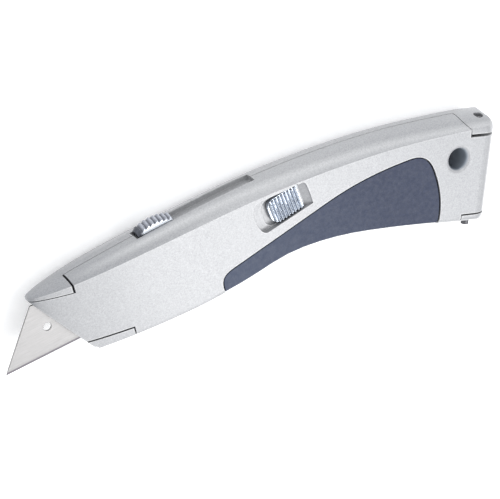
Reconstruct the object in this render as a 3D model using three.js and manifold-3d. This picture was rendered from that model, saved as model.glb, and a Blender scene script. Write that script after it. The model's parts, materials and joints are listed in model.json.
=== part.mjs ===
// Swing-open utility knife with a retractable trapezoid blade, in millimetres.
// It lies on its flat far side, +Z up, nose towards -X and spine towards +Y.
// Pieces are drawn in knife coordinates: x runs back from the nose tip, y up to the spine,
// and z = 0 is the seam between the two die-cast halves.
import * as THREE from 'three';
import { mergeVertices } from 'three/addons/utils/BufferGeometryUtils.js';
import Module from 'manifold-3d';

const wasm = await Module();
wasm.setup();

// ---- driving dimensions ----
const HALF_THICKNESS = 9;
const REST_POINT = [80, -8];
const SEAM = 0.15;
const GAP = 0.3;
const WALL = 2.6;
const BODY_LENGTH = 182;

const PIN_TOP = [166.8, -13.4, 3.5];
const RAKE = THREE.MathUtils.degToRad(20.5);
const KNUCKLE_R = 5.5;
const EAR_R = 7.7;
const TOP_EAR = 3.2;
const KNUCKLE_TOP = 4.2;
const KNUCKLE_BOTTOM = 31.2;
const BOTTOM_EAR = 31.7;
const PIN_R = 1.35;
const PIN_SPAN = [-1.2, 36.8];

const LANYARD = [153.8, -20.8];
const LANYARD_R = 3.5;
const LANYARD_FLARE = 1.5;

const BLADE_LENGTH = 61;
const BLADE_HEIGHT = 18.7;
const BLADE_BACK = 33.2;
const BLADE_THICKNESS = 0.6;
const BLADE_BEVEL = 1.7;
const BLADE_TIP = [-13.7, -21.9];
const BLADE_NOTCH = { offset: 4, halfWidth: 1.3, depth: 2.2 };
const BLADE_HOLE = { fromEnd: 17.5, r: 1.35 };
const BLADE_CHANNEL = [[-20, -22.4], [66, -22.4], [66, -2.7], [-20, -2.7]];
const CHANNEL_HALF = 0.55;
const SPARE_BLADES = 4;
const SPARE_PLACE = { x: 120.5, y: -18.5, tilt: THREE.MathUtils.degToRad(-15), lowest: -5.8, pitch: 0.9 };

const SLOT = { from: 39.5, to: 83.3, halfWidth: 2.6, floor: 1.6, slit: 0.9 };
const BUTTON = {
  from: 40.2, to: 53.1, halfWidth: 2.3, base: 2.6, crest: 6.4, fall: 1.5, round: 1.2,
  ridges: 8, step: 0.7, foot: [43, 50.4],
};
const CAP_GAP = 0.7;
const TAB_GAP = 0.45;
const GRIP_GROOVE = 0.45;
// The release slider, its recess and its latch are drawn along x, then turned about a point.
const RELEASE_TURN = { at: [88.9, -6.8], degrees: 7 };
const RECESS = { floor: 7.2, ramp: [95.6, 98.6] };
const WELL = { from: 80.9, to: 95.2, low: -11.4, high: -2.2, corner: 3, floor: 6.4 };
const RELEASE = { from: 83, to: 94.9, low: -11.15, high: -2.45, corner: 2.8, base: 6.7, face: 8.1 };
const RIBS = { count: 9, first: 83.6, pitch: 1.22, inset: 0.2 };

const CARRIER = { from: 18, to: 60, low: -20.2, high: -2.5, rear: -4.2, front: -0.6 };
const LATCH = { low: -9, high: -4.6, middle: -6.8, rivets: [87.7, 91.3] };
const LATCH_COIL = { from: 73.8, to: 84, z: 4.5, r: 0.95, wire: 0.2, turns: 6 };
const LEAF_THICKNESS = 0.35;
const CLIP_SCREW = [93.2, -12.2];
const CLIP_SEAT = -2.9;
const DETENT_SCREW = [62, -11];
const DETENT_SEAT = -6.2;
const SCREW = { head: 2, shank: 0.8, hole: 1.1, post: 2.2, headHeight: 0.7 };

// ---- curves of the handle, seen from the side ----
// A smooth curve through a few points, as a height for every x.
function smooth(points) {
  const slope = points.map((p, i) => {
    const a = points[Math.max(i - 1, 0)];
    const b = points[Math.min(i + 1, points.length - 1)];
    return (b[1] - a[1]) / (b[0] - a[0]);
  });
  return (x) => {
    let i = 0;
    while (i < points.length - 2 && x > points[i + 1][0]) i += 1;
    const [x0, y0] = points[i];
    const [x1, y1] = points[i + 1];
    const w = x1 - x0;
    const t = (x - x0) / w;
    const rise = (2 * t ** 3 - 3 * t ** 2) * (y0 - y1) + y0;
    return rise + w * ((t ** 3 - 2 * t ** 2 + t) * slope[i] + (t ** 3 - t ** 2) * slope[i + 1]);
  };
}

const creaseAt = smooth([[0, 0], [45, 0.55], [85, -0.35], [125, -4.9], [160, -12.6], [182, -19.3]]);
const crownAt = smooth([[0, 0.7], [25, 2], [70, 3.5], [110, 3.95], [150, 3.6], [182, 2.8]]);
const bellyAt = smooth([
  [0, -24], [48, -26.6], [68, -26.1], [87, -24.4], [105, -27.1], [125, -33.6], [149, -43], [182, -55.6],
]);
const halfWidthAt = (x) => HALF_THICKNESS - 7.13 * Math.exp(-x / 14.6) - 0.9 * Math.exp(-x / 0.6);

// ---- solids ----
function solid(geometry) {
  const bare = geometry.index ? geometry.clone() : geometry;
  bare.deleteAttribute('normal');
  bare.deleteAttribute('uv');
  const merged = mergeVertices(bare, 1e-4);
  const vertProperties = new Float32Array(merged.attributes.position.array);
  const triVerts = new Uint32Array(merged.index.array);
  return new wasm.Manifold(new wasm.Mesh({ numProp: 3, vertProperties, triVerts }));
}

function box(x0, x1, y0, y1, z0, z1) {
  const g = new THREE.BoxGeometry(x1 - x0, y1 - y0, z1 - z0);
  g.translate((x0 + x1) / 2, (y0 + y1) / 2, (z0 + z1) / 2);
  return solid(g);
}

function prism(points, z0, z1) {
  const shape = points instanceof THREE.Shape
    ? points : new THREE.Shape(points.map(([x, y]) => new THREE.Vector2(x, y)));
  const g = new THREE.ExtrudeGeometry(shape, { depth: z1 - z0, bevelEnabled: false, curveSegments: 10 });
  g.translate(0, 0, z0);
  return solid(g);
}

function roundedRect(x0, x1, y0, y1, r) {
  const s = new THREE.Shape();
  s.absarc(x1 - r, y1 - r, r, 0, Math.PI / 2);
  s.absarc(x0 + r, y1 - r, r, Math.PI / 2, Math.PI);
  s.absarc(x0 + r, y0 + r, r, Math.PI, 1.5 * Math.PI);
  s.absarc(x1 - r, y0 + r, r, 1.5 * Math.PI, 2 * Math.PI);
  return s;
}

function rodZ(x, y, r, z0, z1, sides = 20, r1 = r) {
  const g = new THREE.CylinderGeometry(r1, r, z1 - z0, sides);
  g.rotateX(Math.PI / 2);
  g.translate(x, y, (z0 + z1) / 2);
  return solid(g);
}

function join(...parts) {
  return parts.reduce((a, b) => a.add(b));
}

function cut(from, ...tools) {
  return tools.reduce((a, b) => a.subtract(b), from);
}

const PIN_FRAME = new THREE.Matrix4().makeBasis(
  new THREE.Vector3(Math.cos(RAKE), -Math.sin(RAKE), 0),
  new THREE.Vector3(0, 0, 1),
  new THREE.Vector3(-Math.sin(RAKE), -Math.cos(RAKE), 0),
).setPosition(...PIN_TOP);

// A shape in the plane across the hinge pin (first axis backwards, second along +z, both from
// the pin's axis) swept down the raked pin from depth s0 to s1.
function acrossPin(shape, s0, s1) {
  const g = new THREE.ExtrudeGeometry(shape, { depth: s1 - s0, bevelEnabled: false, curveSegments: 12 });
  g.translate(0, 0, s0);
  return solid(g.applyMatrix4(PIN_FRAME));
}

function pinRod(r, s0, s1) {
  return acrossPin(new THREE.Shape().absarc(0, 0, r, 0, 2 * Math.PI), s0, s1);
}

// A closed surface through a row of rings of [x, y, z] points, which run clockwise seen from the last.
function skin(rings) {
  const n = rings[0].length;
  const index = [];
  for (let i = 0; i + 1 < rings.length; i += 1) {
    for (let j = 0; j < n; j += 1) {
      const a = i * n + j;
      const b = i * n + (j + 1) % n;
      index.push(a, a + n, b, b, a + n, b + n);
    }
  }
  const last = (rings.length - 1) * n;
  for (let j = 1; j + 1 < n; j += 1) {
    index.push(0, j, j + 1);
    index.push(last, last + j + 1, last + j);
  }
  const g = new THREE.BufferGeometry();
  g.setAttribute('position', new THREE.Float32BufferAttribute(rings.flat(2), 3));
  g.setIndex(index);
  return g;
}

// One cross-section of the handle: arched crown, flat sides and rounded belly edges.
function section(x, inset) {
  const a = halfWidthAt(x) - inset;
  const crease = creaseAt(x) - 0.6 * inset;
  const crown = crownAt(x) - 0.4 * inset;
  const belly = bellyAt(x) + inset;
  const radius = (a * a + crown * crown) / (2 * crown);
  const corner = Math.min(1.6, 0.4 * a);
  const ring = [];
  const steps = 18;
  for (let i = 0; i <= steps; i += 1) {
    const z = a * (1 - 2 * i / steps);
    ring.push([crease + crown - radius + Math.sqrt(radius * radius - z * z), z]);
  }
  for (const side of [-1, 1]) {
    for (let i = 0; i <= 3; i += 1) {
      const t = (side < 0 ? i : 3 - i) / 3 * Math.PI / 2;
      ring.push([belly + corner * (1 - Math.sin(t)), side * (a - corner * (1 - Math.cos(t)))]);
    }
  }
  return ring.map(([y, z]) => [x, y, z]);
}

function handleLoft(inset, from = 0, to = BODY_LENGTH) {
  const stations = [0, 0.4, 1, 2, 3.5, 5.5, 8, 11, 14, 17, 20, 24, 28, 33, 38];
  for (let x = 44; x < BODY_LENGTH; x += 6) stations.push(x);
  stations.push(BODY_LENGTH);
  const inside = stations.filter((x) => x > from && x < to);
  const rings = [from, ...inside, to].map((x) => section(x, inset));
  return solid(skin(rings));
}

// ---- outer form shared by both halves ----
function rearPlan() {
  const s = new THREE.Shape();
  const far = -2 * PIN_TOP[2];
  s.moveTo(-200, far - KNUCKLE_R - 1);
  s.lineTo(-3, far - KNUCKLE_R - 1);
  s.absarc(0, far, KNUCKLE_R, -0.42 * Math.PI, 0);
  s.absarc(0, 0, KNUCKLE_R, 0, 0.42 * Math.PI);
  s.lineTo(-3, KNUCKLE_R + 1);
  s.lineTo(-200, KNUCKLE_R + 1);
  return s;
}

function outerForm() {
  const side = prism([
    [-1, 8], [-1, -0.2], [0.1, -1.1], [14.4, -23], [16.2, -24.2], [16.2, -30],
    [60, -62], [190, -62], [190, 8],
  ], -12, 12);
  return handleLoft(0).intersect(side).intersect(acrossPin(rearPlan(), -40, 90));
}

// The outline of a hinge ear across the pin, drawn in by the inset everywhere but at its front.
// Its front corner is round about the pin, so that the cover swings clear.
function earOutline(inset) {
  const far = -2 * PIN_TOP[2];
  const arc = (cy, r, from, to, steps) => Array.from({ length: steps + 1 }, (_, i) => {
    const a = THREE.MathUtils.degToRad(from + (to - from) * i / steps);
    return [r * Math.cos(a), cy + r * Math.sin(a)];
  });
  const flat = KNUCKLE_R - inset;
  const farFlat = KNUCKLE_R - inset / 2;
  const front = THREE.MathUtils.radToDeg(Math.asin(flat / EAR_R));
  return [
    [-EAR_R, far - KNUCKLE_R],
    ...arc(far, farFlat, -90, 0, 8),
    ...arc(0, flat, 0, 90, 8),
    ...arc(0, EAR_R, 180 - front, 180, 6),
  ].reverse();
}

// A stretch of the ears' region down the pin, from [depth, inset] levels.
function earRegion(levels) {
  const rings = levels.map(([s, inset]) => earOutline(inset).map(([x, y]) => [x, y, s]));
  return solid(skin(rings).applyMatrix4(PIN_FRAME));
}

const TOP_EAR_LEVELS = [
  [-2, 4.3], [-1.8, 3.4], [-1.45, 2.5], [-0.9, 1.65], [-0.1, 0.85], [0.9, 0.3], [2, 0], [TOP_EAR, 0],
];
const BOTTOM_EAR_LEVELS = [[BOTTOM_EAR, 0], [32.4, 0], [33.3, 0.25], [34, 0.7], [34.6, 1.5], [35, 2.6]];

// Everything behind a straight edge across the pin, between two depths down the pin.
function behindEdge(edge, s0, s1) {
  const s = new THREE.Shape();
  s.moveTo(edge, -20);
  s.lineTo(20, -20);
  s.lineTo(20, 20);
  s.lineTo(edge, 20);
  return acrossPin(s, s0, s1);
}

// The room that the cover leaves for an ear: straight in front of its far part, round in front
// of its near part.
function earRoom(s0, s1) {
  const reach = EAR_R + GAP;
  const s = new THREE.Shape();
  s.moveTo(-reach, -20);
  s.lineTo(20, -20);
  s.lineTo(20, 20);
  s.lineTo(0, 20);
  s.absarc(0, 0, reach, Math.PI / 2, Math.PI);
  return acrossPin(s, s0, s1);
}

function noseCap(under = 0, behind = 0) {
  return prism([
    [-5, 9], [-5, -0.3 - under], [0, -0.8 - under], [13.2 + behind, -2.3 - under], [13.2 + behind, 9],
  ], -12, 12);
}

function frontTab(grow) {
  return prism([
    [8, -20.4 + grow], [28.3 + grow, -22.6 + grow], [28.3 + grow, -32], [8, -32],
  ], -12, 12);
}

// The space for the carrier, the latch and the spare blades.
function cavity() {
  const room = prism([
    [16.6, -0.2], [16.6, -21.4], [40, -30], [149, -52], [151, -30], [146.6, -25],
    [145, -2], [90, 9], [90, -0.2],
  ], -12, 12);
  return handleLoft(WALL, 16, 152).intersect(room);
}

function gripOutline(grow) {
  const s = new THREE.Shape();
  s.moveTo(62 - grow, -34);
  s.lineTo(61.4 - grow, -25);
  s.bezierCurveTo(61 - grow, -20.5, 63 - grow, -19.9 + grow, 66, -19.3 + grow);
  s.lineTo(104, -13 + grow);
  s.bezierCurveTo(115, -11.2 + grow, 126, -11.4 + grow, 137, -12.8 + grow);
  s.bezierCurveTo(142 + grow, -13.5, 143.2 + grow, -17, 143.7 + grow, -21);
  s.bezierCurveTo(144.6 + grow, -28, 143.6 + grow, -35, 140.6 + grow, -40);
  s.lineTo(141 + grow, -60);
  s.lineTo(62, -60);
  return s;
}

function gripLayer(grow, outer, inner, z0, z1) {
  const block = prism(gripOutline(grow), z0, z1).intersect(box(55, 150, -60, 0, z0, z1));
  return block.intersect(handleLoft(outer, 50, 152)).subtract(handleLoft(inner, 40, 160));
}

// The lanyard hole, with a mouth that flares out in a quarter circle on both sides.
function lanyardCut() {
  const steps = 5;
  const flare = Array.from({ length: steps + 1 }, (_, i) => {
    const t = i / steps * Math.PI / 2;
    const r = LANYARD_R + LANYARD_FLARE * (1 - Math.cos(t));
    return [r, HALF_THICKNESS - LANYARD_FLARE * (1 - Math.sin(t))];
  });
  const near = [...flare, [LANYARD_R + LANYARD_FLARE, 12]];
  const far = near.map(([r, z]) => [r, -z]).reverse();
  const profile = [[0, -12], ...far, ...near, [0, 12]].map(([r, z]) => new THREE.Vector2(r, z));
  const hole = new THREE.LatheGeometry(profile, 36).rotateX(Math.PI / 2);
  return solid(hole.translate(...LANYARD, 0));
}

// ---- the two shells ----
function slotRoom(z0, z1, low) {
  return prism(roundedRect(SLOT.from, SLOT.to, low, 20, 0.4), z0, z1);
}

function bodyShell(form) {
  const far = cut(
    form.intersect(box(-20, 200, -70, 20, -12, -SEAM)),
    behindEdge(GAP - EAR_R, -12, TOP_EAR - GAP),
    behindEdge(GAP - EAR_R, BOTTOM_EAR + GAP, 60),
  );
  const ears = form.intersect(join(earRegion(TOP_EAR_LEVELS), earRegion(BOTTOM_EAR_LEVELS)));
  const lip = box(38, 87, -0.2, SLOT.floor, -1, SLOT.slit);
  const solidBody = join(far, ears, form.intersect(noseCap()), form.intersect(frontTab(0)));
  const hollow = cut(
    solidBody,
    cavity(),
    prism(BLADE_CHANNEL, -CHANNEL_HALF, CHANNEL_HALF),
    slotRoom(-SLOT.halfWidth, 3, SLOT.floor),
    pinRod(KNUCKLE_R + GAP, TOP_EAR, BOTTOM_EAR),
    pinRod(PIN_R + GAP, -4, 40),
    gripLayer(GRIP_GROOVE, -1, 1.5, -12, 0),
    lanyardCut(),
  );
  const clipPost = rodZ(...CLIP_SCREW, SCREW.post, -7, CLIP_SEAT);
  const detentPost = rodZ(...DETENT_SCREW, SCREW.post, -7, DETENT_SEAT);
  return cut(
    join(hollow, lip, clipPost, detentPost),
    rodZ(...CLIP_SCREW, SCREW.hole, -6.4, 0),
    rodZ(...DETENT_SCREW, SCREW.hole, -7.3, 0),
  );
}

function turned(shape) {
  const [x, y] = RELEASE_TURN.at;
  return shape.translate([-x, -y, 0]).rotate([0, 0, RELEASE_TURN.degrees]).translate([x, y, 0]);
}

// A rectangle with round front corners.
function roundFront({ from, to, low, high, corner }, inset = 0) {
  const r = corner - inset;
  const s = new THREE.Shape();
  s.moveTo(to - inset, low + inset);
  s.lineTo(to - inset, high - inset);
  s.absarc(from + corner, high - corner, r, Math.PI / 2, Math.PI);
  s.absarc(from + corner, low + corner, r, Math.PI, 1.5 * Math.PI);
  return s;
}

// A shallow scoop with a ramp at its rear, and a deeper well that the slider lies in.
function releaseRecess() {
  const scoop = new THREE.Shape();
  scoop.moveTo(98.4, -10.4);
  scoop.bezierCurveTo(98.2, -7, 97.9, -4.6, 97.5, -3.1);
  scoop.bezierCurveTo(97.2, -2.1, 96.8, -1.9, 96.2, -1.85);
  scoop.lineTo(80.6, -1.35);
  scoop.bezierCurveTo(78.6, -1.4, 77.1, -2.8, 77.1, -5);
  scoop.bezierCurveTo(77.1, -9.2, 78.6, -12.6, 80.6, -12.75);
  const [low, high] = RECESS.ramp;
  const ramp = prism([[low, -RECESS.floor], [high, -HALF_THICKNESS], [high + 3, -6], [low, -6]], -20, 5);
  return join(
    prism(scoop, RECESS.floor, 12).subtract(turned(ramp.rotate([-90, 0, 0]))),
    turned(prism(roundFront(WELL), WELL.floor, 12)),
  );
}

function coverShell(form) {
  const near = form.intersect(box(-20, 200, -70, 20, SEAM, 12));
  const edge = cut(
    near,
    noseCap(GAP, CAP_GAP),
    frontTab(TAB_GAP),
    earRoom(-12, KNUCKLE_TOP),
    earRoom(KNUCKLE_BOTTOM, 60),
    behindEdge(0, KNUCKLE_TOP - 1, KNUCKLE_BOTTOM + 1),
  );
  const knuckle = pinRod(KNUCKLE_R, KNUCKLE_TOP, KNUCKLE_BOTTOM).intersect(form);
  const hollow = cut(
    join(edge, knuckle),
    cavity(),
    prism(BLADE_CHANNEL, -CHANNEL_HALF, CHANNEL_HALF),
    slotRoom(-1, SLOT.halfWidth, -3),
    box(37.7, 87.3, -3, SLOT.floor + GAP, -1, SLOT.slit + GAP),
    pinRod(PIN_R + 0.4, -4, 40),
    gripLayer(GRIP_GROOVE, -1, 1.5, 0, 12),
    lanyardCut(),
  );
  const boss = box(74, 101, -14.6, 0, 5.9, 7.5).intersect(form);
  const springStop = turned(box(71.6, 73.2, LATCH.low, LATCH.high, 3.2, 7));
  return cut(
    join(hollow, boss, springStop),
    releaseRecess(),
    turned(box(83.6, 93.5, LATCH.middle - 2, LATCH.middle + 2, 3, 9)),
  );
}

function grip(z0, z1) {
  return gripLayer(0, 0.2, 1.2, z0, z1);
}

function hingePin() {
  const [top, bottom] = PIN_SPAN;
  const slot = new THREE.Shape();
  slot.moveTo(-3, -0.3);
  slot.lineTo(3, -0.3);
  slot.lineTo(3, 0.3);
  slot.lineTo(-3, 0.3);
  return cut(pinRod(PIN_R, top, bottom), acrossPin(slot, top - 1, top + 0.7));
}

// ---- blades, carrier and thumb button ----
// A trapezoid blade with its cutting edge down, its tip at (x, y) and its thickness from z.
function trapezoidBlade() {
  const inset = (BLADE_LENGTH - BLADE_BACK) / 2;
  const plan = prism([
    [0, 0], [BLADE_LENGTH, 0], [BLADE_LENGTH - inset, BLADE_HEIGHT], [inset, BLADE_HEIGHT],
  ], -1, 1);
  const half = BLADE_THICKNESS / 2;
  const ground = new THREE.Shape([
    [0, -0.03], [BLADE_BEVEL, -half], [BLADE_HEIGHT + 1, -half],
    [BLADE_HEIGHT + 1, half], [BLADE_BEVEL, half], [0, 0.03],
  ].map(([y, z]) => new THREE.Vector2(y, z)));
  const bar = new THREE.ExtrudeGeometry(ground, { depth: BLADE_LENGTH + 2, bevelEnabled: false });
  const along = new THREE.Matrix4().makeBasis(
    new THREE.Vector3(0, 1, 0), new THREE.Vector3(0, 0, 1), new THREE.Vector3(1, 0, 0),
  );
  bar.applyMatrix4(along);
  bar.translate(-1, 0, 0);
  const middle = BLADE_LENGTH / 2;
  const { offset, halfWidth, depth } = BLADE_NOTCH;
  const notch = (x) => box(x - halfWidth, x + halfWidth, BLADE_HEIGHT - depth, BLADE_HEIGHT + 1, -1, 1);
  const hole = (x) => rodZ(x, BLADE_HEIGHT / 2, BLADE_HOLE.r, -1, 1, 24);
  return cut(
    plan.intersect(solid(bar)),
    notch(middle - offset),
    notch(middle + offset),
    hole(BLADE_HOLE.fromEnd),
    hole(BLADE_LENGTH - BLADE_HOLE.fromEnd),
  );
}

// A plate beside the blade, with a rail over the blade's back, a key in its notch, a stop
// behind it, and a seat with a pocket for the thumb button's foot.
function bladeCarrier() {
  const { from, to, low, high, rear, front } = CARRIER;
  const bladeTop = BLADE_TIP[1] + BLADE_HEIGHT;
  const notch = BLADE_TIP[0] + BLADE_LENGTH / 2 + BLADE_NOTCH.offset;
  const keyHalf = BLADE_NOTCH.halfWidth - 0.4;
  const plate = box(from, to, low, high, rear, front);
  const rail = box(from + 6, to, bladeTop + GAP, -0.6, -2.5, CHANNEL_HALF);
  const seat = box(BUTTON.from, BUTTON.to - 1, bladeTop + GAP, -0.6, -1, 2.35);
  const key = box(notch - keyHalf, notch + keyHalf, bladeTop - 1.8, bladeTop + 0.4, -1, 0.45);
  const stop = box(to - 10, to, low, high, -1, CHANNEL_HALF);
  const pocket = box(BUTTON.foot[0] - 0.4, BUTTON.foot[1] + 0.4, -2.6, 0, 0.85, 3);
  return cut(join(plate, rail, seat, key, stop), pocket);
}

// A slider arched along its length and across it. Its ridges rise gently to the rear and drop
// in a step, for the thumb to push forwards.
function thumbButton() {
  const { from, to, halfWidth, base, crest, fall, round, ridges, step, foot } = BUTTON;
  const middle = (from + to) / 2;
  const half = (to - from) / 2;
  const pitch = (to - from) / ridges;
  const arch = (x) => crest - fall * ((x - middle) / half) ** 2;
  const across = [-1, -0.72, -0.4, 0, 0.4, 0.72, 1];
  const ring = (x, height) => [
    [x, base, halfWidth],
    ...across.map((u) => [x, height - round * u * u, -u * halfWidth]),
    [x, base, -halfWidth],
  ];
  const rings = [];
  for (let i = 0; i < ridges; i += 1) {
    const x = from + i * pitch;
    rings.push(ring(x, arch(x) - step));
    rings.push(ring(x + 0.75 * pitch, arch(x + 0.75 * pitch)));
    rings.push(ring(x + 0.9 * pitch, arch(x + pitch) - step));
  }
  rings.push(ring(to, arch(to) - step));
  return join(solid(skin(rings)), box(...foot, -1.1, base + 0.5, 1.2, 2.1));
}

// A springy strip bent through the given points in the x-z plane, thick in z and wide in y.
function leaf(points, y0, y1) {
  const upper = points.map(([x, z]) => [x, z + LEAF_THICKNESS]);
  const outline = [...points, ...upper.reverse()];
  return prism(outline.map(([x, z]) => [x, -z]), y0, y1).rotate([-90, 0, 0]);
}

// The bowed strip under the thumb button.
function buttonSpring() {
  const [from, to] = [BUTTON.foot[0] + 0.2, BUTTON.foot[1] - 0.2];
  const [low, rise, thickness, steps] = [-2.3, 0.55, 0.25, 8];
  const lower = Array.from({ length: steps + 1 }, (_, i) => {
    const t = i / steps;
    return [from + t * (to - from), low + rise * Math.sin(Math.PI * t)];
  });
  const upper = lower.map(([x, y]) => [x, y + thickness]).reverse();
  return prism([...lower, ...upper], 1.35, 1.95);
}

function detentSpring() {
  const flat = DETENT_SEAT + GAP;
  const points = [[46, 0.2], [49, 0.7], [51, 0.95], [56, 0.4], [59.5, 0], [64.5, 0]]
    .map(([x, rise]) => [x, flat + rise]);
  return cut(leaf(points, -13, -9), rodZ(...DETENT_SCREW, SCREW.hole, -7, 0));
}

// A slotted screw, with the underside of its head at the seat height.
function screw([x, y], tip, seat) {
  const head = rodZ(x, y, SCREW.head, seat, seat + SCREW.headHeight, 20);
  const slot = box(x - 3, x + 3, y - 0.25, y + 0.25, seat + 0.4, seat + 2);
  return cut(join(head, rodZ(x, y, SCREW.shank, tip, seat + 0.2, 12)), slot);
}

// ---- release slider and latch ----
function releaseButton() {
  const { low, high, base, face } = RELEASE;
  const ribs = Array.from({ length: RIBS.count }, (_, i) => {
    const x = RIBS.first + i * RIBS.pitch;
    const profile = [[0, 7.9], [0.85, 7.9], [0.75, 8.7], [0.5, 9], [0.3, 9], [0.1, 8.7]];
    return prism(profile.map(([along, z]) => [x + along, -z]), low, high).rotate([-90, 0, 0]);
  });
  const ribbed = join(...ribs).intersect(prism(roundFront(RELEASE, RIBS.inset), 7, 10));
  const stem = box(86, 93, LATCH.middle - 1.6, LATCH.middle + 1.6, 6, base + 0.3);
  return turned(cut(join(prism(roundFront(RELEASE), base, face), ribbed, stem), ...rivetHoles(5, 8)));
}

function rivetHoles(z0, z1) {
  return LATCH.rivets.map((x) => rodZ(x, LATCH.middle, 1, z0, z1, 12));
}

// A plate under the cover, with a leg down to the seam and a tooth that goes under the catch.
function latchPlate() {
  const { low, high } = LATCH;
  const plate = box(84.6, 95.6, low, high, 4.6, 5.6);
  const leg = box(94.4, 95.6, low, high, 0.3, 5);
  const tooth = box(95, 97.4, low, high, 0.3, 1.1);
  return turned(cut(join(plate, leg, tooth), ...rivetHoles(4, 6)));
}

function latchRivet(x) {
  return turned(join(rodZ(x, LATCH.middle, 0.7, 3.8, 7.7, 12), rodZ(x, LATCH.middle, 1.5, 3.6, 4.3, 16)));
}

function latchCatch() {
  const { low, high } = LATCH;
  const post = box(98.6, 101, low, high, -6.1, 2.4);
  const lip = box(96.2, 99, low, high, 1.5, 2.4);
  return turned(join(post, lip));
}

class Helix extends THREE.Curve {
  constructor(x0, x1, y, z, r, turns) {
    super();
    Object.assign(this, { x0, x1, y, z, r, turns });
  }

  getPoint(t, target = new THREE.Vector3()) {
    const angle = 2 * Math.PI * this.turns * t;
    const x = this.x0 + (this.x1 - this.x0) * t;
    return target.set(x, this.y + this.r * Math.cos(angle), this.z + this.r * Math.sin(angle));
  }
}

function latchSpring() {
  const { from, to, z, r, wire, turns } = LATCH_COIL;
  const sides = 6;
  const section = new THREE.Shape(Array.from({ length: sides }, (_, i) => {
    const a = i / sides * 2 * Math.PI;
    return new THREE.Vector2(wire * Math.cos(a), wire * Math.sin(a));
  }));
  const curve = new Helix(from, to, LATCH.middle, z, r, turns);
  return turned(solid(new THREE.ExtrudeGeometry(section, { steps: 14 * turns, extrudePath: curve })));
}

function bladeClip() {
  const [x, y] = CLIP_SCREW;
  const flat = CLIP_SEAT + LEAF_THICKNESS;
  const points = [[-3, 0], [6, 0], [9, 0.5], [16, 0.9], [28, 0.1], [32, 0.9]]
    .map(([along, rise]) => [along, flat + rise]);
  const strip = cut(leaf(points, -2.2, 2.2), rodZ(0, 0, SCREW.hole, -7, 0));
  return strip.rotate([0, 0, THREE.MathUtils.radToDeg(SPARE_PLACE.tilt)]).translate([x, y, 0]);
}

// ---- materials and nodes ----
function finish(color, metalness, roughness) {
  return () => new THREE.MeshStandardMaterial({ color, metalness, roughness });
}

const silverPaint = finish(0xcfd2d5, 0.6, 0.42);
const softGrip = finish(0x5b6475, 0, 0.6);
const chromePlate = finish(0xd9e0ea, 1, 0.15);
const bladeSteel = finish(0xc9cacd, 1, 0.3);
const blackenedSteel = finish(0x3b3c40, 0.9, 0.45);
const springSteel = finish(0x9a9ca0, 1, 0.35);
const carrierPlastic = finish(0x2b2d31, 0, 0.5);

const knife = new THREE.Group();
knife.position.set(-REST_POINT[0], -REST_POINT[1], HALF_THICKNESS);

function add(name, shape, material) {
  const mesh = shape.getMesh();
  const g = new THREE.BufferGeometry();
  g.setAttribute('position', new THREE.BufferAttribute(new Float32Array(mesh.vertProperties), 3));
  g.setIndex(new THREE.BufferAttribute(new Uint32Array(mesh.triVerts), 1));
  g.computeVertexNormals();
  const node = new THREE.Mesh(g, material());
  node.name = name;
  knife.add(node);
  return node;
}

const form = outerForm();
add('body_shell', bodyShell(form), silverPaint);
add('cover_shell', coverShell(form), silverPaint);
add('body_grip', grip(-12, -0.5), softGrip);
add('cover_grip', grip(0.5, 12), softGrip);
add('hinge_pin', hingePin(), blackenedSteel);

const blade = add('blade', trapezoidBlade(), bladeSteel);
blade.position.set(BLADE_TIP[0], BLADE_TIP[1], 0);
add('blade_carrier', bladeCarrier(), carrierPlastic);
add('thumb_button', thumbButton(), chromePlate);
add('button_spring', buttonSpring(), springSteel);
add('detent_spring', detentSpring(), springSteel);
add('detent_screw', screw(DETENT_SCREW, DETENT_SEAT - 0.8, DETENT_SEAT + 0.95), blackenedSteel);

add('release_button', releaseButton(), chromePlate);
add('latch_plate', latchPlate(), springSteel);
add('latch_rivet_front', latchRivet(LATCH.rivets[0]), springSteel);
add('latch_rivet_rear', latchRivet(LATCH.rivets[1]), springSteel);
add('latch_catch', latchCatch(), blackenedSteel);
add('latch_spring', latchSpring(), springSteel);

add('blade_clip', bladeClip(), springSteel);
add('clip_screw', screw(CLIP_SCREW, -6.1, CLIP_SEAT + 1), blackenedSteel);
for (let i = 0; i < SPARE_BLADES; i += 1) {
  const spare = trapezoidBlade().translate([-BLADE_LENGTH / 2, -BLADE_HEIGHT / 2, 0]);
  const node = add(`spare_blade_${i + 1}`, spare, bladeSteel);
  node.rotation.z = SPARE_PLACE.tilt;
  node.position.set(SPARE_PLACE.x, SPARE_PLACE.y, SPARE_PLACE.lowest + SPARE_PLACE.pitch * i);
}

const group = new THREE.Group();
group.add(knife);

export default group;
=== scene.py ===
import json
import math

import bpy
from mathutils import Matrix, Vector

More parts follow.
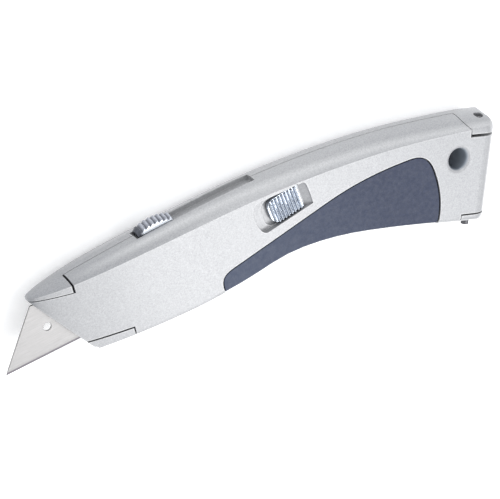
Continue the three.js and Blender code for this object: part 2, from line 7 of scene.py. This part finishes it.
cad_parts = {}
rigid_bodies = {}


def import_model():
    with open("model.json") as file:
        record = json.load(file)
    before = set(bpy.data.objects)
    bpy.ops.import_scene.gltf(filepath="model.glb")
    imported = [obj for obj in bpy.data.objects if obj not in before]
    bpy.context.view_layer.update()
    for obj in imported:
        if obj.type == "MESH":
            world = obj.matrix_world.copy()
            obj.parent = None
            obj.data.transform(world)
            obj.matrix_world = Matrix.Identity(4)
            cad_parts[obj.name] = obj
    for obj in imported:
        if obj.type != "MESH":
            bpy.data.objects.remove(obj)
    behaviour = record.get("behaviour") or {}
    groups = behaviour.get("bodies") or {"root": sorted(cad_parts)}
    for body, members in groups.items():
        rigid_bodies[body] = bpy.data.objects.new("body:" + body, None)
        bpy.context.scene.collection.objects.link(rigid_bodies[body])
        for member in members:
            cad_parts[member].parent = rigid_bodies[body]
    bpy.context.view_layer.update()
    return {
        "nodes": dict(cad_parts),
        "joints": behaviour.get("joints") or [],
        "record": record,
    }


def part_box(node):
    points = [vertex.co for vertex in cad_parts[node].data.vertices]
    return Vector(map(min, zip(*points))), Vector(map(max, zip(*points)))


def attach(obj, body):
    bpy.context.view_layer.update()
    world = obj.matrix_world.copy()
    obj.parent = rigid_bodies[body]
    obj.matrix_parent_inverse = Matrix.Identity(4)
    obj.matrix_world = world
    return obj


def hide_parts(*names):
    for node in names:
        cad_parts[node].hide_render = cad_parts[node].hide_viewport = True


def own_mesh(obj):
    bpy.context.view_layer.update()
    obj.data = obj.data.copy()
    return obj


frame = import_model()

MM = 0.001
NODES = frame["nodes"]
JOINTS = {joint["name"]: joint for joint in frame["joints"]}
SLOTS = {part["node"]: part["material_slot"] for part in frame["record"]["subparts"]}

# Knife coordinates in mm: x back from the nose tip, y up to the spine, z from the seam to the near side.
KNIFE_ORIGIN = Vector((-80.0, 8.0, 9.0))
# The lanyard hole.
LANYARD = (153.8, -20.8)
LANYARD_R = 3.5
# The halves meet tightly along the spine between these two places, and leave wider gaps beyond them.
SEAM_FROM = 14.6
SEAM_TO = 139.0
# Gaps past this z are those in the near side.
NEAR_SIDE = 5.0
# The middle of each of the spine's flanks, where the painted highlight band runs: its distance from the seam
# at the nose, and how it widens.
FLANK_AT_NOSE = 3.85
FLANK_WIDENING = 0.028
# The cosines between which a side of the blade counts as ground.
LEAST_TILT = 0.995
MOST_TILT = 0.9
# Where the painted shade and painted highlight change along the knife, from and to.
NOSE_FADE = (3, 60)
BAND_RISE = (12, 42)
GRIP_FADE = (66, 125)
HINGE_FADE = (100, 150)
# The thumb button's ends and ridges.
THUMB_FRONT, THUMB_REAR = (corner[0] / MM - KNIFE_ORIGIN.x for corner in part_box("thumb_button"))
THUMB_RIDGES = 8
RIDGE_PITCH = (THUMB_REAR - THUMB_FRONT) / THUMB_RIDGES


def place(x, y, z):
    """A point in knife millimetres as a point of the scene, in metres."""
    return (Vector((x, y, z)) + KNIFE_ORIGIN) * MM


# ---- camera, floor and light ----
CAMERA_AT = place(-211.5, 395.6, 661.4)
CAMERA_RIGHT = Vector((0.83717, -0.21734, 0.50190))
CAMERA_UP = Vector((0.42350, 0.83830, -0.34338))
LENS_MM = 186.3
SENSOR_MM = 36
FLOOR_METRES = 6
FLOOR_GAP = 0.5 * MM


def make_camera():
    camera = bpy.data.objects.new("camera", bpy.data.cameras.new("camera"))
    bpy.context.collection.objects.link(camera)
    back = CAMERA_RIGHT.cross(CAMERA_UP)
    up = back.cross(CAMERA_RIGHT)
    turn = Matrix((CAMERA_RIGHT.normalized(), up.normalized(), back.normalized())).transposed()
    camera.matrix_world = Matrix.Translation(CAMERA_AT) @ turn.to_4x4()
    camera.data.lens = LENS_MM
    camera.data.sensor_width = SENSOR_MM
    camera.data.clip_start = 0.01
    camera.data.clip_end = 20
    bpy.context.scene.camera = camera


def area_light(name, at, aim, size, power):
    """A square soft box, its size in metres and its power in watts."""
    light = bpy.data.lights.new(name, "AREA")
    light.shape = "SQUARE"
    light.size = size
    light.energy = power
    holder = bpy.data.objects.new(name, light)
    bpy.context.collection.objects.link(holder)
    holder.location = at
    holder.rotation_euler = (Vector(aim) - Vector(at)).to_track_quat("-Z", "Y").to_euler()


def make_lights():
    """A large key light, a sheen on the near side, and two small lights on the spine."""
    area_light("key", (0.55, -1.2, 1.8), (0, 0, 0), 2.2, 22.5)
    area_light("sheen", (0.246, -0.398, 0.659), place(59.6, -8.8, 9.0), 0.22, 0.74)
    area_light("rim", (0.417, 1.029, 0.464), place(75, 0, 0), 0.4, 1.6)
    area_light("top", (0.42, 0.32, 1.1), (0, 0, 0), 0.3, 1.0)


def make_sky():
    """An even white room, whose colours are shown as they are."""
    bpy.context.scene.view_settings.view_transform = "Standard"
    world = bpy.data.worlds.new("studio")
    world.use_nodes = True
    background = world.node_tree.nodes["Background"]
    background.inputs["Color"].default_value = (0.955, 0.967, 0.987, 1)
    background.inputs["Strength"].default_value = 1.1
    bpy.context.scene.world = world


def make_floor():
    """A light table: it glows a little, so that the shadows stay pale."""
    bpy.ops.mesh.primitive_plane_add(size=FLOOR_METRES, location=(0, 0, -FLOOR_GAP))
    floor = bpy.context.object
    floor.name = "floor"
    surface = Surface("floor", Roughness=0.9, Emission_Color=(1, 1, 1, 1), Emission_Strength=0.2)
    surface.colour(surface.mixed(surface.noise(3.0), (0.95, 0.95, 0.95), (0.97, 0.97, 0.97)))
    floor.data.materials.append(surface.material)


# ---- materials ----
class Surface:
    """A Principled material whose colour, roughness and relief are built up from noises in object space."""

    def __init__(self, name, **sockets):
        self.material = bpy.data.materials.new(name)
        self.material.use_nodes = True
        self.tree = self.material.node_tree
        self.shader = self.tree.nodes["Principled BSDF"]
        for socket, value in sockets.items():
            self.shader.inputs[socket.replace("_", " ")].default_value = value
        self.coordinates = self.node("ShaderNodeTexCoord")

    def node(self, kind, **settings):
        made = self.tree.nodes.new(kind)
        for name, value in settings.items():
            setattr(made, name, value)
        return made

    def link(self, output, socket):
        self.tree.links.new(output, socket)

    def noise(self, grain_mm, detail=2.0, stretch=(1, 1, 1)):
        """A noise whose blobs are about grain_mm across, and longer where an axis's stretch is under 1."""
        mapping = self.node("ShaderNodeMapping")
        mapping.inputs["Scale"].default_value = stretch
        self.link(self.coordinates.outputs["Object"], mapping.inputs["Vector"])
        texture = self.node("ShaderNodeTexNoise")
        texture.inputs["Scale"].default_value = 1 / (grain_mm * MM)
        texture.inputs["Detail"].default_value = detail
        self.link(mapping.outputs["Vector"], texture.inputs["Vector"])
        return texture.outputs["Fac"]

    def flakes(self, grain_mm):
        """Random values in cells about grain_mm across, as the flakes in a metallic lacquer."""
        texture = self.node("ShaderNodeTexVoronoi", feature="F1")
        texture.inputs["Scale"].default_value = 1 / (grain_mm * MM)
        self.link(self.coordinates.outputs["Object"], texture.inputs["Vector"])
        split = self.node("ShaderNodeSeparateColor")
        self.link(texture.outputs["Color"], split.inputs["Color"])
        return split.outputs[0]

    def math(self, operation, *values):
        step = self.node("ShaderNodeMath", operation=operation)
        for socket, value in zip(step.inputs, values):
            if isinstance(value, (int, float)):
                socket.default_value = value
            else:
                self.link(value, socket)
        return step.outputs[0]

    def spread(self, value, low, high, from_low, from_high):
        """A value's range from_low to from_high stretched to low to high, and held level beyond it."""
        mapped = self.node("ShaderNodeMapRange")
        mapped.inputs["From Min"].default_value = from_low
        mapped.inputs["From Max"].default_value = from_high
        mapped.inputs["To Min"].default_value = low
        mapped.inputs["To Max"].default_value = high
        self.link(value, mapped.inputs["Value"])
        return mapped.outputs["Result"]

    def mixed(self, factor, low, high):
        """Two colours, or colour outputs, mixed by a factor from 0 to 1."""
        mix = self.node("ShaderNodeMix", data_type="RGBA")
        self.link(factor, mix.inputs[0])
        for socket, value in ((mix.inputs[6], low), (mix.inputs[7], high)):
            if isinstance(value, tuple):
                socket.default_value = (*value, 1)
            else:
                self.link(value, socket)
        return mix.outputs[2]

    def component(self, vector, axis):
        split = self.node("ShaderNodeSeparateXYZ")
        self.link(vector, split.inputs[0])
        return split.outputs[axis]

    def position(self, axis):
        """Where the point is along an axis of the knife, in mm."""
        in_mm = self.math("DIVIDE", self.component(self.coordinates.outputs["Object"], axis), MM)
        return self.math("SUBTRACT", in_mm, KNIFE_ORIGIN[axis])

    def facing(self, axis):
        """How squarely the surface faces an axis, from 0 to 1, on either side."""
        return self.math("ABSOLUTE", self.component(self.coordinates.outputs["Normal"], axis))

    def rounded(self, edge_mm):
        """The surface's direction, with the edges rounded over a radius."""
        rounding = self.node("ShaderNodeBevel", samples=8)
        rounding.inputs["Radius"].default_value = edge_mm * MM
        return rounding.outputs["Normal"]

    def on_edge(self, edge_mm):
        """1 on the edges, and 0 beyond a radius from them."""
        same_way = self.node("ShaderNodeVectorMath", operation="DOT_PRODUCT")
        self.link(self.rounded(edge_mm), same_way.inputs[0])
        self.link(self.node("ShaderNodeNewGeometry").outputs["Normal"], same_way.inputs[1])
        return self.spread(same_way.outputs["Value"], 1, 0, 0.965, 0.998)

    def with_crevice_shade(self, colour, width_mm, dark):
        """A colour with painted shade: it turns to a dark one in gaps and grooves narrower than width_mm."""
        open_air = self.node("ShaderNodeAmbientOcclusion", samples=8)
        open_air.inputs["Distance"].default_value = width_mm * MM
        return self.mixed(self.spread(open_air.outputs["AO"], 0, 1, 0.15, 0.62), dark, colour)

    def colour(self, colour):
        self.link(colour, self.shader.inputs["Base Color"])

    def roughen(self, value, low, high):
        self.link(self.spread(value, low, high, 0.3, 0.7), self.shader.inputs["Roughness"])

    def relief(self, height, depth_mm, strength, edge_mm=0.0):
        """A bump; edge_mm also rounds the light on the edges, over that radius."""
        bump = self.node("ShaderNodeBump")
        if edge_mm:
            self.link(self.rounded(edge_mm), bump.inputs["Normal"])
        bump.inputs["Strength"].default_value = strength
        bump.inputs["Distance"].default_value = depth_mm * MM
        self.link(height, bump.inputs["Height"])
        self.link(bump.outputs["Normal"], self.shader.inputs["Normal"])


def painted_highlight_places(surface, x, z, on_top):
    """1 where a painted highlight brightens the lacquer: along the middle of the spine's flanks, and on the
    edges.
    """
    middle = surface.math("ADD", surface.math("MULTIPLY", x, FLANK_WIDENING), FLANK_AT_NOSE)
    off_middle = surface.math("ABSOLUTE", surface.math("SUBTRACT", surface.math("ABSOLUTE", z), middle))
    along = surface.math("MULTIPLY", surface.spread(x, 0, 1, *BAND_RISE), on_top)
    band = surface.math("MULTIPLY", surface.spread(off_middle, 0.85, 0, 0.2, 2.2), along)
    edge = surface.math("MULTIPLY", surface.on_edge(0.7), surface.spread(on_top, 1, 0.1, 0, 1))
    return surface.math("MAXIMUM", band, edge)


def lacquer(surface, x, z):
    """The metallic lacquer, with a little painted shade on top of the nose and towards the hinge, and painted
    highlights.
    """
    grain = surface.math("ADD", surface.flakes(0.2), surface.math("MULTIPLY", surface.noise(0.55), 1.4))
    speckle = surface.spread(grain, 0, 1, 0.4, 2.0)
    plain = surface.mixed(speckle, (0.285, 0.288, 0.297), (0.425, 0.428, 0.437))
    # Painted shade: a darker copy of the lacquer, laid on top of the nose and towards the hinge.
    painted_shade = surface.mixed(speckle, (0.19, 0.195, 0.207), (0.285, 0.292, 0.307))
    # Painted highlight: a paler copy of the lacquer, along the spine's flanks and on the edges.
    painted_highlight = surface.mixed(speckle, (0.37, 0.373, 0.382), (0.545, 0.548, 0.555))
    on_top = surface.spread(surface.facing(2), 1, 0, 0.85, 0.95)
    nose = surface.math("MULTIPLY", on_top, surface.spread(x, 0.9, 0.25, *NOSE_FADE))
    rear = surface.spread(x, 0, 0.26, *HINGE_FADE)
    shaded = surface.mixed(surface.math("ADD", nose, rear), plain, painted_shade)
    return surface.mixed(painted_highlight_places(surface, x, z, on_top), shaded, painted_highlight)


def with_painted_bore_shade(surface, paint, x, y):
    """The paint with painted shade in the lanyard hole, darker at the front of the hole than at the rear."""
    back = surface.math("SUBTRACT", x, LANYARD[0])
    up = surface.math("SUBTRACT", y, LANYARD[1])
    squares = surface.math("ADD", surface.math("MULTIPLY", back, back), surface.math("MULTIPLY", up, up))
    in_bore = surface.spread(surface.math("SQRT", squares), 1, 0, LANYARD_R + 0.15, LANYARD_R + 0.7)
    towards_rear = surface.spread(x, 0, 1, LANYARD[0] - 1, LANYARD[0] + LANYARD_R)
    # Painted shade in the bore, deepest at its front.
    return surface.mixed(in_bore, paint, surface.mixed(towards_rear, (0.14, 0.16, 0.19), (0.36, 0.4, 0.45)))


def gap_shade_colour(surface, x, z):
    """The painted shade in gaps: grey in the tight seam along the spine, black in the gaps at the nose, the
    hinge and the near side.
    """
    at_nose = surface.math("LESS_THAN", x, SEAM_FROM)
    at_hinge = surface.math("GREATER_THAN", x, SEAM_TO)
    in_side = surface.math("GREATER_THAN", z, NEAR_SIDE)
    open_gap = surface.math("MAXIMUM", surface.math("MAXIMUM", at_nose, at_hinge), in_side)
    return surface.mixed(open_gap, (0.27, 0.275, 0.29), (0.04, 0.043, 0.05))


def silver_paint():
    """The painted castings."""
    surface = Surface("silver_paint", Metallic=0.25, Coat_Weight=0.16, Coat_Roughness=0.16)
    x, y, z = (surface.position(axis) for axis in range(3))
    paint = with_painted_bore_shade(surface, lacquer(surface, x, z), x, y)
    # The lacquer, with painted shade in its gaps.
    surface.colour(surface.with_crevice_shade(paint, 1.5, gap_shade_colour(surface, x, z)))
    surface.roughen(surface.noise(0.6), 0.34, 0.46)
    surface.relief(surface.noise(0.45, 3.0), 0.012, 0.6, edge_mm=0.35)
    return surface.material


def soft_grip():
    """Dark blue rubber, with painted shade towards the rear and in its gaps."""
    surface = Surface("soft_grip", Specular_IOR_Level=0.42, Sheen_Weight=0.05, Sheen_Roughness=0.4)
    grain = surface.spread(surface.noise(0.5, 3.0), 0, 1, 0.3, 0.7)
    front = surface.mixed(grain, (0.034, 0.046, 0.084), (0.045, 0.06, 0.102))
    # Painted shade: a darker copy of the rubber, towards the rear.
    rear = surface.mixed(grain, (0.013, 0.021, 0.051), (0.021, 0.031, 0.069))
    rubber = surface.mixed(surface.spread(surface.position(0), 0, 1, *GRIP_FADE), front, rear)
    surface.colour(surface.with_crevice_shade(rubber, 0.9, (0.008, 0.009, 0.011)))
    surface.roughen(surface.noise(1.4), 0.46, 0.6)
    surface.relief(surface.noise(0.22), 0.02, 0.7)
    return surface.material


def plated(name):
    """A bright plated Surface, with the haze that its colours are mixed by, and 1 where it faces sideways,
    which is where its painted highlight goes.
    """
    surface = Surface(name, Metallic=0.7)
    surface.roughen(surface.noise(0.8), 0.2, 0.3)
    surface.relief(surface.noise(1.1), 0.006, 0.5)
    haze = surface.spread(surface.noise(2.2, 3.0), 0, 1, 0.3, 0.7)
    sideways = surface.spread(surface.facing(2), 0, 1, 0.75, 0.97)
    return surface, haze, sideways


def chrome_plate():
    """The release slider's plate, with a painted highlight on its ribs, painted shade on their slopes, and
    painted shade in its gaps.
    """
    surface, haze, sideways = plated("chrome_plate")
    painted_slope_shade = surface.mixed(haze, (0.39, 0.42, 0.475), (0.46, 0.49, 0.545))
    painted_rib_highlight = surface.mixed(haze, (0.66, 0.74, 0.85), (0.73, 0.81, 0.92))
    surface.colour(surface.with_crevice_shade(surface.mixed(sideways, painted_slope_shade, painted_rib_highlight), 0.6, (0.24, 0.275, 0.34)))
    return surface.material


def thumb_plate():
    """The thumb button's plate, with a painted highlight on its flanks and painted shade between its ridges
    and on its front.
    """
    surface, haze, sideways = plated("thumb_plate")
    # Painted highlight on the flanks; the crests are a shaded copy.
    flank = surface.mixed(haze, (0.74, 0.78, 0.84), (0.82, 0.86, 0.91))
    crest = surface.mixed(haze, (0.34, 0.355, 0.4), (0.41, 0.43, 0.475))
    x = surface.position(0)
    ridges = surface.math("DIVIDE", surface.math("SUBTRACT", x, THUMB_FRONT), RIDGE_PITCH)
    rise = surface.spread(surface.math("FRACT", ridges), 0, 1, 0.12, 0.6)
    # Painted shade between the ridges.
    top = surface.mixed(rise, (0.1, 0.105, 0.125), crest)
    # Painted shade on the button's front.
    front = surface.spread(x, 1, 0, THUMB_FRONT + 1.1, THUMB_FRONT + 2.3)
    plate = surface.mixed(front, surface.mixed(sideways, top, flank), (0.07, 0.075, 0.09))
    surface.colour(surface.with_crevice_shade(plate, 0.8, (0.05, 0.053, 0.065)))
    return surface.material


def steel(name, dark, light, rough, lay=(1, 1, 1)):
    """Metal with fine lines along an axis, drawn by a noise stretched along it."""
    surface = Surface(name, Metallic=1.0)
    lines = surface.noise(0.25, 3.0, lay)
    surface.colour(surface.mixed(surface.spread(lines, 0, 1, 0.3, 0.7), dark, light))
    surface.roughen(surface.noise(0.7), rough - 0.06, rough + 0.08)
    surface.relief(lines, 0.004, 0.5)
    return surface.material


def blade_steel():
    """Brushed flat sides, and a darker ground edge, which is where a side tilts a little."""
    surface = Surface("blade_steel", Metallic=0.9)
    lines = surface.noise(0.3, 3.0, (0.05, 1, 1))
    flat = surface.mixed(surface.spread(lines, 0, 1, 0.3, 0.7), (0.212, 0.209, 0.208), (0.246, 0.242, 0.241))
    ground = surface.mixed(surface.noise(0.4, 3.0, (1, 0.08, 1)), (0.105, 0.099, 0.11), (0.14, 0.131, 0.143))
    level = surface.facing(2)
    tilted = surface.math("LESS_THAN", level, LEAST_TILT)
    on_side = surface.math("GREATER_THAN", level, MOST_TILT)
    surface.colour(surface.mixed(surface.math("MULTIPLY", tilted, on_side), flat, ground))
    surface.roughen(surface.noise(0.8), 0.33, 0.37)
    surface.relief(lines, 0.004, 0.5)
    return surface.material


def carrier_plastic():
    surface = Surface("carrier_plastic")
    surface.colour(surface.mixed(surface.noise(0.6), (0.022, 0.024, 0.028), (0.04, 0.043, 0.048)))
    surface.roughen(surface.noise(0.9), 0.42, 0.6)
    surface.relief(surface.noise(0.18), 0.015, 0.6)
    return surface.material


MATERIALS = {
    "silver_paint": silver_paint(),
    "soft_grip": soft_grip(),
    "chrome_plate": chrome_plate(),
    "blade_steel": blade_steel(),
    "dark_steel": steel("dark_steel", (0.07, 0.07, 0.075), (0.14, 0.14, 0.15), 0.4),
    "spring_steel": steel("spring_steel", (0.42, 0.42, 0.43), (0.6, 0.6, 0.61), 0.3, (0.1, 1, 1)),
    "carrier_plastic": carrier_plastic(),
}
# The thumb button is plated like the release slider, and has painted shade of its own between its ridges and
# on its front.
THUMB_PLATE = thumb_plate()


# ---- the CAD nodes' finish ----
CORNER = math.radians(28)
ROUNDED_CORNER = math.radians(33)
FLAT = math.radians(0.4)
FINE_EDGE_MM = 0.05
EDGE_MM = {
    "body_grip": 0.2,
    "cover_grip": 0.2,
    "thumb_button": 0.14,
    "release_button": 0.14,
    "blade_carrier": 0.2,
}


def crisp_corners(piece):
    """Corners that stay crisp in the mesh; the paint's relief rounds the light on them."""
    corners = piece.modifiers.new("corners", "EDGE_SPLIT")
    corners.split_angle = CORNER
    corners.use_edge_sharp = False


def rounded_corners(piece, edge_mm):
    """Corners rounded in the mesh, once flat faces are whole again."""
    clean = piece.modifiers.new("flat_faces", "DECIMATE")
    clean.decimate_type = "DISSOLVE"
    clean.angle_limit = FLAT
    edges = piece.modifiers.new("edges", "BEVEL")
    edges.width = edge_mm * MM
    edges.segments = 3
    edges.limit_method = "ANGLE"
    edges.angle_limit = ROUNDED_CORNER
    edges.harden_normals = False
    edges.use_clamp_overlap = False


def finish(piece, name):
    """A node's material, smooth shading and softly rounded edges."""
    piece.data.materials.clear()
    piece.data.materials.append(THUMB_PLATE if name == "thumb_button" else MATERIALS[SLOTS[name]])
    piece.data.polygons.foreach_set("use_smooth", [True] * len(piece.data.polygons))
    piece.modifiers.new("weld", "WELD").merge_threshold = 0.001 * MM
    if SLOTS[name] == "silver_paint":
        crisp_corners(piece)
    else:
        rounded_corners(piece, EDGE_MM.get(name, FINE_EDGE_MM))
    piece.modifiers.new("normals", "WEIGHTED_NORMAL").keep_sharp = False


def flexing(name, joint):
    """A spring as a piece of its own, on its joint's parent body, in place of its node."""
    piece = bpy.data.objects.new(name + "_flexing", NODES[name].data.copy())
    bpy.context.collection.objects.link(piece)
    finish(piece, name)
    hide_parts(name)
    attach(piece, JOINTS[joint]["parent"])
    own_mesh(piece)


make_camera()
make_sky()
make_lights()
make_floor()
for name in SLOTS:
    finish(NODES[name], name)
# Each spring, and the joint whose parent body carries it.
flexing("latch_spring", "release_slide")
flexing("button_spring", "button_press")
